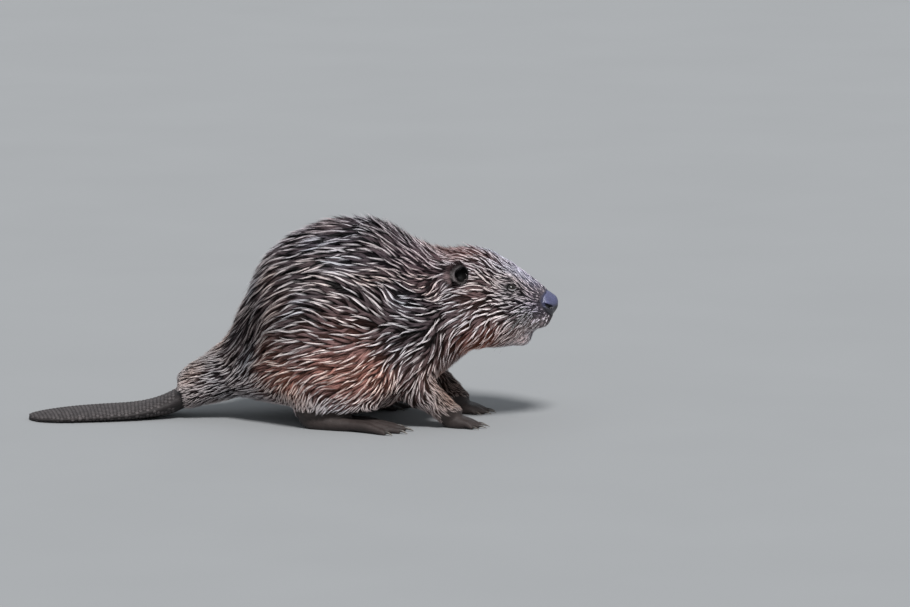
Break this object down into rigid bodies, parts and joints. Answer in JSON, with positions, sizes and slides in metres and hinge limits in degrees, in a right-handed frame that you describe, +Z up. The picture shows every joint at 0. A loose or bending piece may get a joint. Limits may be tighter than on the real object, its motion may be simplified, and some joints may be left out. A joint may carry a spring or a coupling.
{
  "type": "beaver",
  "caption": "Life-size beaver model, crouched on its feet with the head held forward, a furry body and a broad scaly tail laid flat.",
  "frame": {"origin": "on the floor under the middle of the whole animal's box", "axes": "+X the way the animal faces, from tail to nose; +Y its left side; +Z up"},
  "size_m": [0.7676, 0.2968, 0.3002],
  "materials": {
    "coat": "wet guard hairs, glossy in clumps",
    "throat_coat": "paler wet fur",
    "nose_skin": "damp pebbled skin",
    "foot_skin": "dark wrinkled skin",
    "tail_scales": "dull leathery scales",
    "ear_skin": "short-furred skin",
    "eye": "wet and glossy",
    "claw": "worn horn"
  },
  "bodies": {
    "root": {"ear_left": "ear_skin", "ear_right": "ear_skin", "eye_left": "eye", "eye_right": "eye", "fore_claw_left_1": "claw", "fore_claw_left_2": "claw", "fore_claw_left_3": "claw", "fore_claw_left_4": "claw", "fore_claw_left_5": "claw", "fore_claw_right_1": "claw", "fore_claw_right_2": "claw", "fore_claw_right_3": "claw", "fore_claw_right_4": "claw", "fore_claw_right_5": "claw", "fore_foot_left": "foot_skin", "fore_foot_right": "foot_skin", "fore_leg_left": "coat", "fore_leg_right": "coat", "head": "coat", "hind_claw_left_1": "claw", "hind_claw_left_2": "claw", "hind_claw_left_3": "claw", "hind_claw_left_4": "claw", "hind_claw_left_5": "claw", "hind_claw_right_1": "claw", "hind_claw_right_2": "claw", "hind_claw_right_3": "claw", "hind_claw_right_4": "claw", "hind_claw_right_5": "claw", "hind_foot_left": "foot_skin", "hind_foot_right": "foot_skin", "hind_leg_left": "coat", "hind_leg_right": "coat", "lower_jaw": "throat_coat", "neck": "coat", "nose": "nose_skin", "tail": "tail_scales", "tail_root": "coat", "trunk": "coat"}
  },
  "joints": []
}
